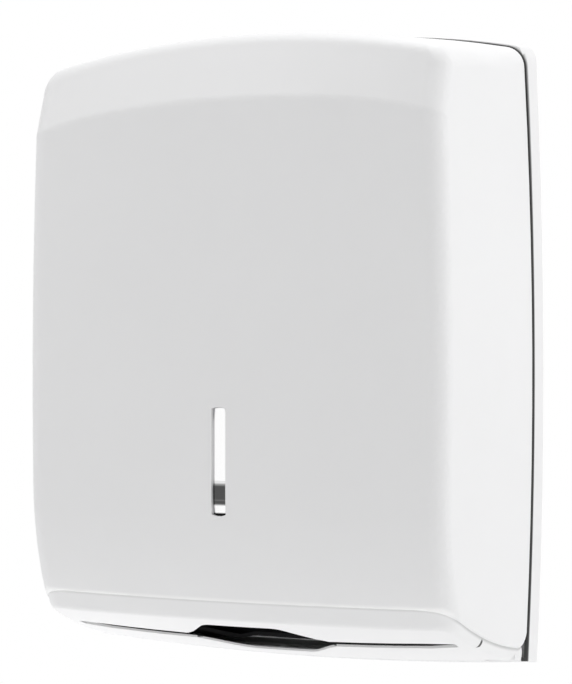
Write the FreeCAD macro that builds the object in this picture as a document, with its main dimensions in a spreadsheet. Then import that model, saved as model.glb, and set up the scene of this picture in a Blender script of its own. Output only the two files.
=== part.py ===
import FreeCAD, Part
import math
import os
import re
import Sketcher

# Wall-hung dispenser for folded paper towels, in millimetres. X runs along the width, +Y into the wall
# and +Z up. Sizes are given with the wall face at Y = 0 and the lowest point of the back plate at Z = 0.
# Every piece is then lowered by fixing_centre, so the part's origin is the middle of its four wall holes.

DOC = FreeCAD.newDocument("TowelDispenser")
SHEET = DOC.addObject("Spreadsheet::Sheet", "Sheet")

# Back plate: arched top, slightly barrel-shaped sides, tapered rim.
PLATE = {
    "plate_half_width": 141,
    "plate_side_radius": 3680,
    "plate_top": 373.6,
    "plate_top_radius": 572,
    "plate_bottom_radius": 1720,
    "plate_corner_radius": 19,
    "plate_middle": 178,
    "plate_wall": 2.5,
    "rim_depth": 12,
    "rim_taper": 2.4,
    "rim_wall": 2.2,
    "rim_edge_bevel": 0.8,
    "lip_depth": 19,
    "lip_wall": 1.8,
    "lip_start": 44,
    "lip_gap": 1,
    "fixing_half_width": 85,
    "fixing_centre": 190,
    "fixing_half_height": 110,
    "fixing_hole_radius": 2.75,
    "fixing_seat_radius": 8,
    "fixing_seat_height": 1.5,
    "boss_radius": 3.6,
    "boss_height": 5,
    "cut_margin": 1,
    "arc_ease": 0.0005,
}

# Ribs on the front of the plate: two upright, two across.
RIBS = {
    "rib_wall": 1.6,
    "rib_height": 3.5,
    "rib_half_spacing": 45,
    "rib_bottom": 70,
    "rib_top": 338,
    "rib_low": 130,
    "rib_high": 250,
    "rib_half_length": 100,
}

# Cover: outer form of the moulded shell, before the parting line. A formula ties a size to the others.
COVER = {
    "side_step": 3.2,
    "cover_half_width": "=plate_half_width - side_step",
    "cover_side_radius": 3300,
    "top_step": 2.1,
    "cover_top": "=plate_top - top_step",
    "cover_top_radius": 565,
    "cover_corner_radius": 17,
    "rim_gap": 1.6,
    "cover_rear": "=rim_depth + rim_gap",
    "side_draft": 0.1275,
    "top_slope": 0.158,
    "front_depth": 139.8,
    "form_margin": 15,
    "form_depth": "=front_depth + form_margin",
    "form_bottom": -20,
    "form_reach": "=plate_half_width + form_margin",
    "bulge_radius": 793,
    "sweep_height": 109,
    "sweep_radius": 167,
    "sweep_angle": 60,
    "band_low": "=cover_top - 71.5",
    "band_low_depth": "=front_depth + 8.6",
    "band_low_radius": 443,
    "band_high": "=cover_top + 8.5",
    "band_high_depth": "=front_depth - 32.3",
    "band_high_radius": 20000,
    "crease_radius": 12,
    "front_edge_radius": 14,
    "cover_wall": 2.5,
    "core_bevel": 5.8,
    "cover_rib_half_spacing": 60,
    "cover_rib_depth": "=front_depth - 9",
    "cover_rib_bottom": 125,
    "cover_rib_top": "=band_low - 5",
}

# Parting line between cover and bottom panel, and the panel itself.
PANEL = {
    "parting_front": 48.8,
    "parting_front_depth": "=front_depth - 12.8",
    "parting_rear": 17,
    "parting_rear_depth": 26,
    "parting_radius": 389,
    "parting_heel": 22,
    "heel_radius": 10.5,
    "panel_step": 1,
    "panel_wall": 2.2,
    "panel_rear": 13.8,
    "panel_lip": 12,
    "panel_lip_gap": 0.5,
    "underside_front_depth": "=front_depth - 15.8",
    "underside_front": 38.3,
    "underside_rear": 2.8,
    "underside_radius": 506,
    "underside_arch": 1720,
    "underside_turn": 16,
    "heel_rounding": 6,
    "chin_radius": 5,
    "cover_edge_bevel": 0.8,
    "slit_lip_wall": 1.2,
    "slit_lip_reach": 3.5,
    "slit_depth": "=front_depth - 57.8",
    "slit_half_length": "=plate_half_width - 27",
    "slit_taper": 16,
    "slit_half_width": 4,
    "slit_end_half_width": 1.5,
    "mouth_half_width": 46,
    "mouth_front": "=slit_depth + 30.5",
    "mouth_front_half": 22,
    "mouth_rear": "=slit_depth - 32",
    "mouth_rear_half": 20,
    "mouth_radius": 10,
}

# Hinge at the lower rear corners.
HINGE = {
    "hinge_depth": 22,
    "hinge_height": 13,
    "pin_radius": 2,
    "pin_fit": 0.05,
    "pin_head_radius": 3.5,
    "pin_head_length": 2,
    "lug_inner": "=plate_half_width - 25.5",
    "lug_wall": 5,
    "lug_radius": 4,
    "lug_root": 24,
    "lug_root_height": 20,
    "lug_slope": "53 deg",
    "ear_gap": 1.5,
    "ear_radius": 5,
    "ear_length": 14,
    "pin_end": "=plate_half_width - 14",
    "pin_end_gap": 0.3,
    "lug_notch_gap": 1,
    "lug_notch_reach": 5,
    "lug_notch_height": 30,
}

# Screws: shank, pan head and the clearance of their holes.
SCREW = {
    "screw_radius": 1.45,
    "screw_fit": 0.05,
    "screw_clearance": 0.35,
    "screw_head_radius": 3.2,
    "screw_head_height": 2,
    "screw_bite": 5.5,
    "screw_tip_gap": 0.5,
    "panel_screw_near": 30,
    "panel_screw_far": 68,
    "panel_screw_height": 58,
    "tab_half_width": 8,
    "tab_depth": "=front_depth - 19.3",
    "tab_wall": 2.4,
    "tab_rise": 5.5,
    "tab_foot": 40.5,
    "tab_foot_height": 4,
    "tab_boss_radius": 4,
}

# Tray that carries the towels, and the two fences beside the stack.
TRAY = {
    "tray_gap": 2.8,
    "tray_wall": 2,
    "tray_half_width": "=plate_half_width - 24",
    "tray_front": "=front_depth - 24.3",
    "tray_front_radius": 1200,
    "tray_rear": 42,
    "tray_rim": 43,
    "tray_flange_top": 60,
    "tray_corner_radius": 8,
    "tray_screw_half": 70,
    "tray_screw_height": 52,
    "tray_slot_half_length": "=slit_half_length - 14",
    "tray_slot_half_width": 7,
    "tray_slot_end_half_width": 4,
    "tray_mouth_gap": 4,
    "guide_inner": "=plate_half_width - 25",
    "guide_wall": 2,
    "guide_flange": 10,
    "guide_reach": 70,
    "guide_bottom": 66,
    "guide_top": "=plate_top - 73.6",
    "guide_rounding": 18,
    "guide_screw_offset": 5,
    "guide_screw_low": "=guide_bottom + 24",
    "guide_screw_high": "=guide_top - 30",
}

# Viewing slot and its lens.
WINDOW = {
    "window_half_width": 4.1,
    "window_bottom": 95.3,
    "window_top": 153.1,
    "window_end_radius": 11,
    "frame_margin": 5.6,
    "frame_depth": 3.7,
    "lens_margin": 5,
    "lens_wall": 1.5,
    "stake_offset": 2.6,
    "stake_radius": 0.9,
    "stake_fit": 0.1,
    "stake_head_radius": 1.7,
    "stake_head_height": 0.8,
    "stake_gap": 0.05,
}

# Cam lock in the top of the cover and its keeper on the back plate.
LOCK = {
    "lock_depth": 33,
    "lock_seat": "=cover_top - 5.1",
    "lock_seat_radius": 11,
    "lock_boss_radius": 12,
    "lock_boss_bottom": "=lock_seat - 6.4",
    "lock_head_radius": 9.5,
    "lock_head_height": 2,
    "lock_barrel_radius": 7.9,
    "lock_barrel_gap": 0.1,
    "lock_barrel_bottom": "=lock_seat - 13.9",
    "lock_washer_radius": 11,
    "lock_washer_height": 1,
    "lock_nut_width": 20,
    "lock_nut_height": 3,
    "plug_radius": 4.5,
    "plug_fit": 0.05,
    "plug_shoulder_radius": 5.6,
    "plug_shoulder_height": 1.2,
    "plug_recess": 0.3,
    "plug_square": 6,
    "keyway_width": 1.6,
    "keyway_length": 6,
    "keyway_depth": 5,
    "cam_gap": 0.6,
    "cam_wall": 2,
    "cam_length": 20,
    "cam_width": 10,
    "cam_fit": 0.1,
    "cam_screw_radius": 2,
    "cam_screw_length": 7,
    "cam_screw_head_radius": 4.2,
    "cam_screw_head_height": 2.2,
    "strike_gap": 0.3,
    "strike_wall": 2,
    "strike_half_height": 4.5,
    "strike_arm": 22.5,
    "strike_lip": 11.5,
    "strike_foot": 21.5,
    "strike_screw_near": 7,
    "strike_screw_far": 17,
}

for sizes in (PLATE, RIBS, COVER, PANEL, HINGE, SCREW, TRAY, WINDOW, LOCK):
    for alias, size in sizes.items():
        row = len(SHEET.getUsedCells()) // 2 + 1
        SHEET.set("A%d" % row, alias)
        SHEET.set("B%d" % row, str(size))
        SHEET.setAlias("B%d" % row, alias)
        DOC.recompute()


def cells(text):
    """Turns the plain words of a formula into references to the sheet's cells."""
    return re.sub(r"[a-z]+(?:_[a-z]+)+", r"Sheet.\g<0>", str(text))


def value(text):
    """Number that a formula gives with the sheet's present sizes."""
    return float(SHEET.evalExpression(cells(text)))


def bind(item, **formulas):
    """Binds properties of an object to formulas of the sheet's sizes."""
    for prop, text in formulas.items():
        item.setExpression(prop.replace("__", "."), cells(text))
    return item


def place(item, corner):
    """Binds the three coordinates of an object's place."""
    return bind(item, Placement__Base__x=corner[0], Placement__Base__y=corner[1], Placement__Base__z=corner[2])


def box(name, corner, lengths):
    """Box with its lowest corner and its lengths along X, Y and Z."""
    item = bind(DOC.addObject("Part::Box", name), Length=lengths[0], Width=lengths[1], Height=lengths[2])
    return place(item, corner)


TURNS = {
    "x": FreeCAD.Rotation(FreeCAD.Vector(0, 1, 0), 90),
    "y": FreeCAD.Rotation(FreeCAD.Vector(1, 0, 0), -90),
    "-y": FreeCAD.Rotation(FreeCAD.Vector(1, 0, 0), 90),
    "z": FreeCAD.Rotation(),
    "-z": FreeCAD.Rotation(FreeCAD.Vector(1, 0, 0), 180),
}


def rod(name, start, axis, radius, length):
    """Cylinder from its start point along an axis."""
    item = bind(DOC.addObject("Part::Cylinder", name), Radius=radius, Height=length)
    item.Placement = FreeCAD.Placement(FreeCAD.Vector(), TURNS[axis])
    return place(item, start)


def joined(name, pieces):
    """One solid from pieces that run into each other."""
    item = DOC.addObject("Part::MultiFuse", name)
    item.Shapes = pieces
    item.Refine = True
    return item


def without(name, base, tools):
    """Base with the tools' space taken out."""
    item = DOC.addObject("Part::Cut", name)
    item.Base = base
    item.Tool = tools[0] if len(tools) == 1 else joined(name + "_tools", tools)
    return item


def shared(name, pieces):
    """Space that all pieces share."""
    item = DOC.addObject("Part::MultiCommon", name)
    item.Shapes = pieces
    return item


def mirrored(name, source):
    """Twin of a piece on the other side of the middle plane."""
    item = DOC.addObject("Part::Mirroring", name)
    item.Source = source
    item.Normal = FreeCAD.Vector(1, 0, 0)
    return item


def group(name, pieces):
    """Separate solids that share one node."""
    item = DOC.addObject("Part::Compound", name)
    item.Links = pieces
    return item


def body(name):
    return DOC.addObject("PartDesign::Body", name)


def outline(owner, name, role, corners, arcs=None, offset=0, shift=0):
    """Closed sketch on an origin plane of its body.

    The corners are formulas. arcs maps the number of a side to its radius; a minus sign before the radius
    makes the side bow to the left of its direction instead of to the right."""
    arcs = arcs or {}
    sketch = owner.newObject("Sketcher::SketchObject", name)
    sketch.AttachmentSupport = [(next(f for f in owner.Origin.OriginFeatures if f.Role == role), "")]
    sketch.MapMode = "FlatFace"
    bind(sketch, AttachmentOffset__Base__z=offset, AttachmentOffset__Base__y=shift)
    points = [FreeCAD.Vector(value(x), value(y), 0) for x, y in corners]
    ends = []
    for i, start in enumerate(points):
        end = points[(i + 1) % len(points)]
        if i not in arcs:
            sketch.addGeometry(Part.LineSegment(start, end), False)
            ends.append((1, 2))
            continue
        left = arcs[i].startswith("-")
        radius = value(arcs[i].lstrip("-"))
        chord = end - start
        sag = radius - math.sqrt(radius ** 2 - chord.Length ** 2 / 4)
        bow = FreeCAD.Vector(chord.y, -chord.x, 0).normalize() * (-sag if left else sag)
        middle = (start + end) * 0.5 + bow
        arc = Part.Arc(end, middle, start) if left else Part.Arc(start, middle, end)
        sketch.addGeometry(arc, False)
        ends.append((2, 1) if left else (1, 2))
    for i, corner in enumerate(corners):
        following = (i + 1) % len(corners)
        sketch.addConstraint(Sketcher.Constraint("Coincident", i, ends[i][1], following, ends[following][0]))
        for kind, text in zip(("DistanceX", "DistanceY"), corner):
            number = sketch.addConstraint(Sketcher.Constraint(kind, -1, 1, i, ends[i][0], value(text)))
            sketch.setExpression("Constraints[%d]" % number, cells(text))
        if i in arcs:
            text = arcs[i].lstrip("-")
            number = sketch.addConstraint(Sketcher.Constraint("Radius", i, value(text)))
            sketch.setExpression("Constraints[%d]" % number, cells(text))
    return sketch


def feature(owner, kind, name, **settings):
    """Adds a feature to a body and brings the body up to date."""
    item = owner.newObject("PartDesign::" + kind, name)
    for prop, setting in settings.items():
        setattr(item, prop, setting)
    DOC.recompute()
    return item


def pad(owner, name, sketch, length, **settings):
    item = feature(owner, "Pad", name, Profile=sketch, **settings)
    bind(item, Length=length)
    DOC.recompute()
    return item


def edges(item, test):
    """Names of the edges whose middle point and direction there pass a test."""
    names = []
    for i, edge in enumerate(item.Shape.Edges):
        parameter = (edge.FirstParameter + edge.LastParameter) / 2
        if test(edge.valueAt(parameter), edge.tangentAt(parameter)):
            names.append("Edge%d" % (i + 1))
    return names


def fillet(owner, name, base, names, radius):
    item = feature(owner, "Fillet", name, Base=(base, names), Radius=value(radius))
    bind(item, Radius=radius)
    DOC.recompute()
    return item


def bevel(owner, name, base, names, size):
    item = feature(owner, "Chamfer", name, Base=(base, names), Size=value(size))
    bind(item, Size=size)
    DOC.recompute()
    return item


def arched_outline(half_width, side_radius, middle, top, top_radius, bottom):
    """Corners of an outline with barrel sides and an arched top: lower left, lower right, upper right,
    upper left. The upper corners lie where the side arc meets the top arc."""
    def side(height):
        return f"({half_width} - {side_radius} + sqrt({side_radius}^2 - ({height} - {middle})^2))"
    rough = f"({top} - ({half_width})^2 / (2 * {top_radius}))"
    corner_height = f"({top} - {top_radius} + sqrt({top_radius}^2 - {side(rough)}^2))"
    low, high = side(bottom), side(rough)
    return [("-" + low, bottom), (low, bottom), (high, corner_height), ("-" + high, corner_height)]


# Plate form: its outline shrinks towards the front of the rim.
def plate_form(name, inset, rear, front):
    def corners(extra):
        cut = f"({inset} + {extra})"
        points = arched_outline(f"(plate_half_width - {cut})", "plate_side_radius", "plate_middle",
                                f"(plate_top - {cut})", "plate_top_radius", "0")
        low = points[1][0]
        height = f"({cut} + plate_bottom_radius - sqrt(plate_bottom_radius^2 - {low}^2))"
        return [(points[0][0], height), (points[1][0], height), points[2], points[3]]
    arcs = {0: "plate_bottom_radius", 1: "plate_side_radius", 2: "plate_top_radius", 3: "plate_side_radius"}
    form = body(name)
    back = outline(form, name + "_back", "XZ_Plane", corners(f"(rim_taper * {rear} / rim_depth)"), arcs, rear)
    face = outline(form, name + "_face", "XZ_Plane", corners(f"(rim_taper * {front} / rim_depth)"), arcs, front)
    loft = feature(form, "AdditiveLoft", name + "_loft", Profile=back, Sections=[face], Ruled=True)
    upper = edges(loft, lambda p, d: abs(d.y) > 0.7 and p.z > value("plate_middle"))
    fillet(form, name + "_corners", loft, upper, f"plate_corner_radius - {inset}")
    return form


def screw_post(name, x, z):
    """Post on the plate that a screw bites into."""
    return rod(name, (x, "-plate_wall / 2", z), "-y", "boss_radius", "plate_wall / 2 + boss_height")


# Places of the screws that go into the plate's posts.
GUIDE_X = "(guide_inner + guide_wall + guide_flange - guide_screw_offset)"
POSTS = [(side + GUIDE_X, z) for side in ("", "-") for z in ("guide_screw_low", "guide_screw_high")]
TRAY_POSTS = [(side + "tray_screw_half", "tray_screw_height") for side in ("", "-")]
STRIKE_Z = "(lock_barrel_bottom - cam_gap - cam_wall / 2)"
STRIKE_POSTS = [("(strike_arm + strike_wall + %s)" % along, STRIKE_Z)
                for along in ("strike_screw_near", "strike_screw_far")]


def section(depth, inset):
    """Corners of the cover form's outline at a depth from the wall."""
    fall = f"({depth} - cover_rear)"
    return arched_outline(f"(cover_half_width - side_draft * {fall} - {inset})", "cover_side_radius",
                          "plate_middle", f"(cover_top - top_slope * {fall} - {inset})",
                          "cover_top_radius", "form_bottom")


SECTION_ARCS = {1: "cover_side_radius", 2: "cover_top_radius", 3: "cover_side_radius"}


# Back plate with rim, locating lip, hinge lugs, posts and seats round the wall holes.
def base_plate():
    rim = plate_form("rim_form", "0", "0", "rim_depth")
    nose = edges(rim.Tip, lambda p, d: abs(p.y + value("rim_depth")) < 0.01)
    bevel(rim, "rim_edge", rim.Tip, nose, "rim_edge_bevel")
    hollow = plate_form("rim_hollow", "rim_wall", "plate_wall", "(rim_depth + cut_margin)")
    tray = without("rimmed_plate", rim, [hollow])

    lip = body("lip_form")
    ring = outline(lip, "lip_outline", "XZ_Plane", section("lip_depth", "(cover_wall + lip_gap)"), SECTION_ARCS,
                   "plate_wall / 2")
    solid = pad(lip, "lip_block", ring, "lip_depth - plate_wall / 2")
    upper = edges(solid, lambda p, d: abs(d.y) > 0.7 and p.z > value("plate_middle"))
    fillet(lip, "lip_corners", solid, upper, "cover_corner_radius - cover_wall - lip_gap")
    core = body("lip_core")
    ring = outline(core, "lip_core_outline", "XZ_Plane", section("lip_depth", "(cover_wall + lip_gap + lip_wall)"),
                   SECTION_ARCS, "plate_wall / 4")
    solid = pad(core, "lip_core_block", ring, "lip_depth")
    upper = edges(solid, lambda p, d: abs(d.y) > 0.7 and p.z > value("plate_middle"))
    fillet(core, "lip_core_corners", solid, upper, "cover_corner_radius - cover_wall - lip_gap - lip_wall")
    below = box("lip_below", ("-plate_half_width", "-lip_depth - cut_margin", "form_bottom - cut_margin"),
                ("2 * plate_half_width", "lip_depth + 2 * cut_margin", "lip_start - form_bottom + cut_margin"))
    lip_wall = without("locating_lip", lip, [core, below])

    lug = body("lug_form")
    corners = [("-hinge_depth", "hinge_height - lug_radius"), ("-plate_wall / 2", "lug_root"),
               ("-plate_wall / 2", "lug_root + lug_root_height"),
               ("-hinge_depth - lug_radius * cos(lug_slope)", "hinge_height + lug_radius * sin(lug_slope)")]
    plan = outline(lug, "lug_outline", "YZ_Plane", corners, offset="lug_inner")
    pad(lug, "lug_web", plan, "lug_wall")
    eye = rod("lug_eye", ("lug_inner", "-hinge_depth", "hinge_height"), "x", "lug_radius", "lug_wall")
    web = joined("lug_blank", [lug, eye])
    bore = rod("lug_bore", ("lug_inner - cut_margin", "-hinge_depth", "hinge_height"), "x",
               "pin_radius + pin_fit", "lug_wall + 2 * cut_margin")
    lug_right = without("lug_right", web, [bore])
    lug_left = mirrored("lug_left", lug_right)

    posts, bites, seats, holes = [], [], [], []
    for i, (x, z) in enumerate(POSTS + TRAY_POSTS + STRIKE_POSTS):
        posts.append(screw_post("post_%d" % i, x, z))
        bites.append(rod("bite_%d" % i, (x, "-plate_wall - boss_height - cut_margin", z), "y",
                         "screw_radius + screw_fit", "screw_bite + cut_margin"))
    for i, (sx, sz) in enumerate((("", "+"), ("-", "+"), ("", "-"), ("-", "-"))):
        x, z = sx + "fixing_half_width", f"fixing_centre {sz} fixing_half_height"
        seats.append(rod("seat_%d" % i, (x, "-plate_wall / 2", z), "-y", "fixing_seat_radius",
                         "plate_wall / 2 + fixing_seat_height"))
        holes.append(rod("hole_%d" % i, (x, "cut_margin", z), "-y", "fixing_hole_radius",
                         "plate_wall + fixing_seat_height + 2 * cut_margin"))
    ribs = []
    for i, side in enumerate(("", "-")):
        corner = (side + "rib_half_spacing - rib_wall / 2", "-plate_wall - rib_height", "rib_bottom")
        ribs.append(box("rib_upright_%d" % i, corner,
                        ("rib_wall", "plate_wall / 2 + rib_height", "rib_top - rib_bottom")))
    for i, height in enumerate(("rib_low", "rib_high")):
        corner = ("-rib_half_length", "-plate_wall - rib_height", height + " - rib_wall / 2")
        ribs.append(box("rib_across_%d" % i, corner,
                        ("2 * rib_half_length", "plate_wall / 2 + rib_height", "rib_wall")))
    whole = joined("plate_blank", [tray, lip_wall, lug_right, lug_left] + posts + seats + ribs)
    return without("base_plate", whole, bites + holes)


# Form of cover and bottom panel: drafted, barrel-sided and crowned block whose front bows in plan, sweeps
# back below sweep_height and leans back in a band along the top. The inset gives its parallel inner forms,
# where a bevel stands for the rounded front edge.
def cover_form(name, inset, rear, filleted=True):
    form = body(name)
    back = outline(form, name + "_back", "XZ_Plane", section(rear, inset), SECTION_ARCS, rear)
    face = outline(form, name + "_face", "XZ_Plane", section("form_depth", inset), SECTION_ARCS, "form_depth")
    block = feature(form, "AdditiveLoft", name + "_block", Profile=back, Sections=[face], Ruled=True)
    upper = edges(block, lambda p, d: abs(d.y) > 0.7 and p.z > value("plate_middle"))
    fillet(form, name + "_corners", block, upper, f"cover_corner_radius - {inset}")

    def front(apex, radius):
        end = f"({apex} + {radius} - sqrt({radius}^2 - form_reach^2))"
        far = f"({apex} - form_reach / 2)"
        return [("-form_reach", far), ("form_reach", far), ("form_reach", end), ("-form_reach", end)]
    bulge = f"(bulge_radius - {inset})"
    plan = outline(form, name + "_plan", "XY_Plane", front(f"(-sweep_radius + {inset})", bulge), {2: "-" + bulge},
                   "sweep_height", "sweep_radius - front_depth")
    feature(form, "Pocket", name + "_front", Profile=plan, Type="Length", Length=2 * value("cover_top"),
            Reversed=True)
    sweep = feature(form, "Groove", name + "_sweep", Profile=plan, ReferenceAxis=(plan, ["H_Axis"]))
    bind(sweep, Angle="sweep_angle")
    lean = f"({inset} * sqrt(1 + ((band_low_depth - band_high_depth) / (band_high - band_low))^2))"
    low_radius = f"(band_low_radius - {inset})"
    low = outline(form, name + "_band_low", "XY_Plane", front(f"(-band_low_depth + {lean})", low_radius),
                  {2: "-" + low_radius}, "band_low")
    high = outline(form, name + "_band_high", "XY_Plane", front(f"(-band_high_depth + {lean})", "band_high_radius"),
                   {2: "-band_high_radius"}, "band_high")
    band = feature(form, "SubtractiveLoft", name + "_band", Profile=low, Sections=[high], Ruled=True)
    if not filleted:
        bevel(form, name + "_bevel", band, front_loop(band), "core_bevel")
        return form
    crease = edges(band, lambda p, d: abs(p.x) < 1 and abs(d.x) > 0.9 and p.y < -value("front_depth / 2")
                   and value("band_low") < p.z < value("(band_low + band_high) / 2"))
    creased = fillet(form, name + "_crease", band, crease, f"crease_radius - {inset}")
    fillet(form, name + "_rounding", creased, front_loop(creased), f"front_edge_radius - {inset}")
    return form


def front_loop(item):
    """Edges between the form's front faces and its sides and top."""
    names = []
    for i, edge in enumerate(item.Shape.Edges):
        middle = edge.valueAt((edge.FirstParameter + edge.LastParameter) / 2)
        faces = [face for face in item.Shape.Faces if any(edge.isSame(other) for other in face.Edges)]
        facing = [abs(face.normalAt(*face.Surface.parameter(middle)).y) > 0.75 for face in faces]
        ahead = middle.y < -value("front_depth / 2") and middle.z > value("form_bottom + cut_margin")
        if ahead and len(set(facing)) == 2:
            names.append("Edge%d" % (i + 1))
    return names


# Space below the parting line, seen from the side: level at the front, then an arc that falls to the rear
# and levels out, and a rounded heel.
def below_parting():
    region = body("parting_form")
    front, bottom = "-form_depth - form_margin", "form_bottom - form_margin"
    corners = [(front, bottom), ("form_margin", bottom), ("form_margin", "parting_heel"),
               ("-cover_rear", "parting_heel"), ("-parting_rear_depth", "parting_rear"),
               ("-parting_front_depth", "parting_front"), (front, "parting_front")]
    side = outline(region, "parting_side", "YZ_Plane", corners,
                   {3: "-heel_radius", 4: "-parting_radius"})
    pad(region, "parting_block", side, "2 * form_reach", Midplane=True)
    return region


# Space above the underside, which rises to the front along an arc and across the width along another, with
# a rounded heel at the rear. The lift gives its parallel inner surfaces.
def above_underside(name, lift, rear, rounding):
    region = body(name)
    run = "(underside_front_depth - panel_rear)"
    climb = "(underside_front - underside_rear)"
    chord = f"sqrt({run}^2 + {climb}^2)"
    turn = f"(sqrt(underside_radius^2 - {chord}^2 / 4) / {chord})"
    centre_depth = f"((panel_rear + underside_front_depth) / 2 - {climb} * {turn})"
    centre_height = f"((underside_rear + underside_front) / 2 + {run} * {turn} - underside_arch)"
    radius = f"(underside_radius - {lift})"
    heel_depth = f"({rear} + {rounding} - {centre_depth})"
    heel_drop = f"sqrt(({radius} - {rounding})^2 - {heel_depth}^2)"
    reach = f"({radius} / ({radius} - {rounding}))"
    far, top = "(form_depth + form_margin)", "(cover_top - underside_arch)"
    corners = [(f"-{rear}", f"({centre_height} - {heel_drop})"), (f"-{rear}", top), (f"-{far}", top),
               (f"-{far}", f"({centre_height} - sqrt({radius}^2 - ({far} - {centre_depth})^2))"),
               (f"(-{centre_depth} - {heel_depth} * {reach})", f"({centre_height} - {heel_drop} * {reach})")]
    side = outline(region, name + "_side", "YZ_Plane", corners, {3: radius, 4: rounding}, shift="underside_arch")
    swung = feature(region, "Revolution", name + "_arch", Profile=side, ReferenceAxis=(side, ["H_Axis"]),
                    Midplane=True)
    bind(swung, Angle="underside_turn")
    return region


# Long slit for the towel's edge with tapering ends, and the six-sided mouth for the fingers.
def slit_and_mouth(name, bottom, top, extra, half_length, half_width, end_half_width):
    slit = body(name + "_slit")
    taper = f"({half_length} - slit_taper)"
    y0, y1 = f"(-slit_depth - {half_width})", f"(-slit_depth + {half_width})"
    e0, e1 = f"(-slit_depth - {end_half_width})", f"(-slit_depth + {end_half_width})"
    corners = [("-" + taper, y0), (taper, y0), (half_length, e0), (half_length, e1), (taper, y1),
               ("-" + taper, y1), ("-" + half_length, e1), ("-" + half_length, e0)]
    plan = outline(slit, name + "_slit_plan", "XY_Plane", corners, offset=bottom)
    pad(slit, name + "_slit_block", plan, f"{top} - {bottom}")
    mouth = body(name + "_mouth")
    corners = [(f"(-mouth_front_half - {extra})", f"(-mouth_front - {extra})"),
               (f"(mouth_front_half + {extra})", f"(-mouth_front - {extra})"),
               (f"(mouth_half_width + {extra})", "-slit_depth"),
               (f"(mouth_rear_half + {extra})", f"(-mouth_rear + {extra})"),
               (f"(-mouth_rear_half - {extra})", f"(-mouth_rear + {extra})"),
               (f"(-mouth_half_width - {extra})", "-slit_depth")]
    plan = outline(mouth, name + "_mouth_plan", "XY_Plane", corners, offset=bottom)
    block = pad(mouth, name + "_mouth_block", plan, f"{top} - {bottom}")
    upright = edges(block, lambda p, d: abs(d.z) > 0.9 and abs(p.y + value("slit_depth")) > 1)
    fillet(mouth, name + "_mouth_corners", block, upright, f"mouth_radius + {extra}")
    return [slit, mouth]


TAB_SCREWS = [side + near for near in ("panel_screw_near", "panel_screw_far") for side in ("", "-")]


# Cover shell with viewing slot, lens frame, lock boss and the posts for the bottom panel's screws.
def front_cover(outer, core, below):
    slot = upright_slot("slot_form", "0", "(front_depth - frame_depth - cut_margin)",
                        "frame_depth + form_margin")
    frame = upright_slot("lens_frame", "frame_margin", "(front_depth - frame_depth)", "frame_depth")
    boss = rod("lock_boss", ("0", "-lock_depth", "lock_boss_bottom"), "z", "lock_boss_radius",
               "cover_top - lock_boss_bottom")
    posts, bites = [], []
    for i, x in enumerate(TAB_SCREWS):
        posts.append(rod("cover_post_%d" % i, (x, "-tab_depth", "panel_screw_height"), "-y", "tab_boss_radius",
                         "form_depth - tab_depth"))
        bites.append(rod("cover_bite_%d" % i, (x, "-tab_depth + cut_margin", "panel_screw_height"), "-y",
                         "screw_radius + screw_fit", "screw_bite"))
    ribs = []
    for i, side in enumerate(("", "-")):
        corner = (side + "cover_rib_half_spacing - rib_wall / 2", "-form_depth", "cover_rib_bottom")
        ribs.append(box("cover_rib_%d" % i, corner,
                        ("rib_wall", "form_depth - cover_rib_depth", "cover_rib_top - cover_rib_bottom")))
    blank = without("cover_blank", edged_cover(without("cover_trimmed", outer, [below])), [core])
    inside = shared("cover_insides", [joined("cover_bosses", [frame, boss] + posts + ribs), outer])
    whole = joined("cover_whole", [blank, inside] + lens_stakes("cover_stake", "0"))
    seat = rod("lock_seat_cut", ("0", "-lock_depth", "lock_seat"), "z", "lock_seat_radius",
               "cover_top - lock_seat")
    hole = rod("lock_hole", ("0", "-lock_depth", "lock_boss_bottom - cut_margin"), "z",
               "lock_barrel_radius + lock_barrel_gap", "cover_top - lock_boss_bottom")
    return without("front_cover", whole, [slot, seat, hole] + bites)


def edged_cover(solid):
    """Breaks the cover's lower outer edge along the sides."""
    DOC.recompute()
    item = DOC.addObject("Part::Chamfer", "edged_cover")
    item.Base = solid
    size = value("cover_edge_bevel")
    item.Edges = [(number, size, size) for number in lower_edges(solid, "parting_front", "cover_rear", -0.3)]
    return item


def lower_edges(solid, top, rear, slope):
    """Numbers of the edges, up to a height and ahead of a depth, where a face looking down begins."""
    numbers = []
    for i, edge in enumerate(solid.Shape.Edges):
        middle = edge.valueAt((edge.FirstParameter + edge.LastParameter) / 2)
        faces = [face for face in solid.Shape.Faces if any(edge.isSame(other) for other in face.Edges)]
        down = [face.normalAt(*face.Surface.parameter(middle)).z < slope for face in faces]
        if middle.z < value(top + " + arc_ease") and middle.y < -value(rear + " + arc_ease") and len(set(down)) == 2:
            numbers.append(i + 1)
    return numbers


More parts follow.
